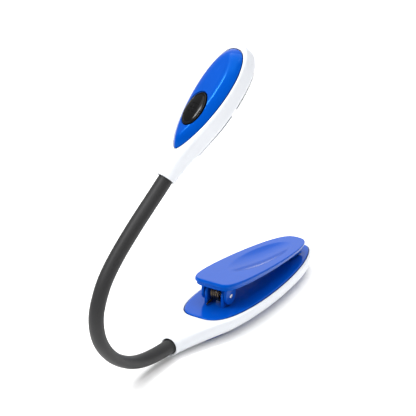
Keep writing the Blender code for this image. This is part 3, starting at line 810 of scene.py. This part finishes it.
button = {"x": 28.1, "long": 7.1, "wide": 4.3, "top": 8.3, "flange": 0.5, "flangeTop": 5.75,
          "foot": ((4.95, 0.45), (5.0, 0.5), (5.7, 0.5), (5.76, 0.4), (5.76, 0)),  # z, growth
          "shoulder": 7.45, "shoulderRound": 0.42,
          "rimGroove": ((7.83, -0.62), (7.72, -0.85), (7.76, -1.05)),
          "crown": 7.76, "crownInset": 1.07, "hollow": (7.0, 5.3, 2.9),
          "mark": {"long": 1.7, "half": 0.22, "depth": 0.34, "spacing": 1.8}}
underside = {"top": -4.75, "bottom": -5.9, "inset": 2.1,
             "levels": ((0, 1.6), (0.06, 1.25), (0.2, 0.9), (0.42, 0.5), (0.7, 0.2))}
lensShape = {"ends": (35.2, 54.7), "ramp": 1, "corner": 2.2, "hollow": (38.2, 51.0),
             "hollowHalf": 5.4, "skin": 0.85}
doorShape = {"ends": (13.5, 34.9), "ramp": 1.8, "corner": 1.2, "hollow": (20.8, 33.9),
             "hollowHalf": 5.0, "hollowDepth": 0.55, "hole": 1.2, "sink": 1.9,
             "sinkDepth": 0.45}
doorScrew = {"at": 17.2, "headRows": ((0.1, 1.3), (0.16, 1.5), (0.25, 1.6)), "under": 0.6,
             "shankRadius": 0.75, "cross": (1.0, 0.18), "depth": 0.3, "pilot": 0.9}
headHalf, headTop, headBottom = (through(head["rows"], column) for column in (1, 2, 3))


def headShape(x):
    blend = min(1, max(0, (x - head["boxFrom"]) / head["boxOver"]))
    return (headHalf(x), headTop(x), headBottom(x),
            2 + head["boxTop"] * blend, 2 + head["boxBottom"] * blend)


def headRing(x):
    half, top, bottom, boxTop, boxBottom = headShape(x)
    return section(x, half, 0, top, bottom, boxTop, boxBottom)


def headHeight(x, y):
    half, top, _, power, _ = headShape(x)
    return crown(y, half, 0, top, power)


def coverHeight(inset):
    share = min(1, max(0, inset) / cover["reach"])
    return cover["seat"] + cover["rise"] * (1 - (1 - share)**cover["power"])


def domeRings(drop, grow):
    insets = [cover["reach"] * (k / 18)**1.5 for k in range(19)]
    return [leafOf(cover, coverHeight(inset) - drop, grow - inset) for inset in insets]


def makeHead():
    shell = loft("head_body", bodyRings(head, headRing), headPlace)
    walls = [(x, headHalf(x) - head["wall"]) for x in np.linspace(*head["hollow"])]
    hollow = loft("hollow", [[(x, y, z) for y, z in ((-w, -9), (w, -9), (w, 9), (-w, 9))]
                             for x, w in walls], headPlace)
    pocket = lippedPocket(head, cover, headHeight, headPlace)
    screwHole = upright("screwHole", doorScrew["at"], -9, -1.4, doorScrew["pilot"], headPlace)
    cut(shell, hollow, pocket, *neckHoles(head, 0, headPlace), screwHole)
    settle(shell, "white_plastic", "head_shell", body="head")


def makeCover():
    skirt, edge, wall, lip = cover["skirt"], cover["edge"], cover["wall"], cover["rimRound"]
    rings = [leafOf(cover, skirt, -edge), leafOf(cover, skirt + edge)] + domeRings(0, 0)
    spine = cover["start"] + cover["spineInset"], cover["end"] - cover["spineInset"]
    crest = rings[-1][0][2]
    rings += fillIn(rings[-1], spine, lambda x, y: crest, 8)
    piece = loft("head_inlay", rings, headPlace, caps=(True, False))
    inside = loft("inside", [leafOf(cover, 2, -wall)] + domeRings(cover["drop"], -wall), headPlace)
    surface = coverHeight(cover["rimAt"])  # where the button's opening meets the dome
    levels = [(surface - lip + rise, inset) for inset, rise in roundOver(lip)]
    long, wide = button["long"] + touchGap, button["wide"] + touchGap
    opening = loft("opening", [oval(long + grow, wide + grow, z, button["x"])
                               for z, grow in [(0, 0)] + levels + [(12, lip)]], headPlace)
    room = rod("room", (button["x"], 0, 0), (button["x"], 0, button["flangeTop"] + touchGap),
               button["long"] + button["flange"] + touchGap, headPlace, 96,
               button["wide"] + button["flange"] + touchGap)
    cut(piece, inside, opening, room)
    settle(piece, "blue_plastic", "head_cover", body="head")


def makeButton():
    x, long, wide, top = button["x"], button["long"], button["wide"], button["top"]
    shoulder, crownLow, inset = button["shoulder"], button["crown"], button["crownInset"]
    levels = [*button["foot"], (shoulder, 0)]
    levels += [(shoulder + rise, -drawn) for drawn, rise in roundOver(button["shoulderRound"])[1:]]
    rings = [oval(long + grow, wide + grow, z, x) for z, grow in levels + [*button["rimGroove"]]]
    for share in np.linspace(0.04, 1, 16):  # then the domed crown
        z = crownLow + (top - crownLow) * math.sin(share * math.pi / 2)**0.8
        left = 1 - share
        rings.append(oval(0.02 + (long - inset) * left, 0.01 + (wide - inset) * left, z, x))
    piece = loft("push_button", rings, headPlace)
    depth, hollowLong, hollowWide = button["hollow"]
    cut(piece, rod("hollow", (x, 0, 3), (x, 0, depth), hollowLong, headPlace, half=hollowWide))
    mark = button["mark"]
    for k in range(3):
        middle = x - mark["spacing"] + mark["spacing"] * k
        cut(piece, block("mark", (middle - mark["half"], -mark["long"], top - mark["depth"]),
                         (middle + mark["half"], mark["long"], 9), headPlace))
    settle(piece, "black_plastic", "button", body="button")


def underPiece(name, part):
    # a shallow dish under the head; ramp slopes its first edge and corner rounds its outline
    start, end = part["ends"]
    levels = [(underside["bottom"] + rise, inset) for rise, inset in underside["levels"]]
    rings = []
    for z, inset in levels + [(underside["top"], 0.0)]:
        low, high = start + part["ramp"] * inset, end - inset
        side = []
        for k in range(61):
            x = low + (high - low) * (0.5 - 0.5 * math.cos(math.pi * k / 60))
            near, far = (min(1, (gap + 0.02) / part["corner"]) for gap in (x - low, high - x))
            corners = math.sqrt(1 - (1 - near)**2) * math.sqrt(1 - (1 - far)**2)
            half = headHalf(min(x, 58.5)) - underside["inset"] - inset
            side.append((x, half * max(corners, 0.15)))
        rings.append([(x, -y, z) for x, y in side] + [(x, y, z) for x, y in side[::-1]])
    return loft(name, rings, headPlace)


def underHollow(part, floor):
    (start, end), half = part["hollow"], part["hollowHalf"]
    return block("hollow", (start, -half, floor), (end, half, 0), headPlace)


def makeUnderside():
    top, bottom, x = underside["top"], underside["bottom"], doorScrew["at"]
    lens = underPiece("lamp_lens", lensShape)
    cut(lens, underHollow(lensShape, bottom + lensShape["skin"]))
    settle(lens, "clear_plastic", "lens", body="head")
    door = underPiece("cell_door", doorShape)
    cut(door, upright("hole", x, -9, 0, doorShape["hole"], headPlace),
        upright("sink", x, -9, top - doorShape["sinkDepth"], doorShape["sink"], headPlace),
        underHollow(doorShape, top - doorShape["hollowDepth"]))
    settle(door, "white_plastic", "battery_door", body="head")
    rows = [(bottom + rise, radius) for rise, radius in doorScrew["headRows"]]
    rows.append((top - doorScrew["under"], rows[-1][1]))
    makeScrew("cell_door_screw", x, headPlace, "head", "door_screw",
              {**doorScrew, "levels": rows, "shank": (top - 0.8, -1.8)})


makeHead()
makeCover()
makeButton()
makeUnderside()

# the small inside pieces keep their CAD shape and get a finish
kept = {"circuit_board": "circuit_board", "switch": "black_plastic", "led_front": "led_resin",
        "led_rear": "led_resin", "cell_lower": "cell_can", "cell_upper": "cell_can",
        "contact_lower": "steel", "contact_upper": "brass", "ferrule_base": "brass",
        "ferrule_head": "brass"}
for nodeName, keptSlot in kept.items():
    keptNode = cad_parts[nodeName]
    for spot in keptNode.material_slots:
        spot.material = finishes[keptSlot]
print("head made")


# ---- floor, light and camera

# panels: place, size, power; walls: the room's brightness rises from floor to ceiling
studio = {"floorSide": 8.0, "floor": (0.96, 0.96, 0.96), "world": 1.0, "exposure": 0.0,
          "walls": {"From Min": 0.1, "From Max": 0.75, "To Min": 0.4, "To Max": 1.0},
          "aim": (-0.03, 0, 0.05),
          "panels": {"top panel": ((-0.05, 0.1, 1.25), (1.3, 1.3), 12.5),
                     "key panel": ((-0.70, 0.36, 0.98), (0.10, 0.36), 6.0),
                     "back panel": ((1.24, 0.85, 0.52), (1.6, 0.5), 1.5)}}


def makeFloor():
    half = studio["floorSide"] / 2
    mesh = bpy.data.meshes.new("floor")
    corners = [(-half, -half, 0), (half, -half, 0), (half, half, 0), (-half, half, 0)]
    mesh.from_pydata(corners, [], [(0, 1, 2, 3)])
    floor = bpy.data.objects.new("floor", mesh)
    bpy.context.scene.collection.objects.link(floor)
    finish = Finish("pale floor", {"Roughness": 0.9, "Specular IOR Level": 0.0,
                                   "Base Color": studio["floor"]})
    mesh.materials.append(finish.material)


def addPanel(name, at, size, power):
    lamp = bpy.data.lights.new(name, "AREA")
    lamp.shape, lamp.size, lamp.size_y, lamp.energy = "RECTANGLE", size[0], size[1], power
    panel = bpy.data.objects.new(name, lamp)
    bpy.context.scene.collection.objects.link(panel)
    panel.location = at
    aim = Vector(studio["aim"]) - Vector(at)
    panel.rotation_euler = aim.to_track_quat("-Z", "Y").to_euler()
    panel.visible_camera = False


def makeLight():
    world = bpy.data.worlds.new("studio")
    bpy.context.scene.world = world
    world.use_nodes = True
    tree = world.node_tree
    sky = tree.nodes["Background"]
    sky.inputs["Strength"].default_value = studio["world"]
    up = tree.nodes.new("ShaderNodeSeparateXYZ")
    tree.links.new(tree.nodes.new("ShaderNodeTexCoord").outputs["Generated"], up.inputs[0])
    fade = tree.nodes.new("ShaderNodeMapRange")
    for key, value in studio["walls"].items():
        fade.inputs[key].default_value = value
    tree.links.new(up.outputs["Z"], fade.inputs["Value"])
    tree.links.new(fade.outputs["Result"], sky.inputs["Color"])
    for name, panel in studio["panels"].items():
        addPanel(name, *panel)
    bpy.context.scene.view_settings.view_transform = "Standard"
    bpy.context.scene.view_settings.exposure = studio["exposure"]


view = {"turn": 56.71, "fall": 24.24, "target": (-31.5, 0, 54.7), "distance": 1187,
        "angle": 8.0, "clip": (0.05, 30)}


def makeCamera():
    turn, fall = math.radians(view["turn"]), math.radians(view["fall"])
    ahead = Vector((math.sin(turn) * math.cos(fall), math.cos(turn) * math.cos(fall),
                    -math.sin(fall)))
    camera = bpy.data.objects.new("camera", bpy.data.cameras.new("camera"))
    bpy.context.scene.collection.objects.link(camera)
    camera.data.angle = math.radians(view["angle"])
    camera.data.clip_start, camera.data.clip_end = view["clip"]
    camera.location = (Vector(view["target"]) - ahead * view["distance"]) * mm
    camera.rotation_euler = ahead.to_track_quat("-Z", "Y").to_euler()
    bpy.context.scene.camera = camera


makeFloor()
makeLight()
makeCamera()
print("floor, light and camera made")
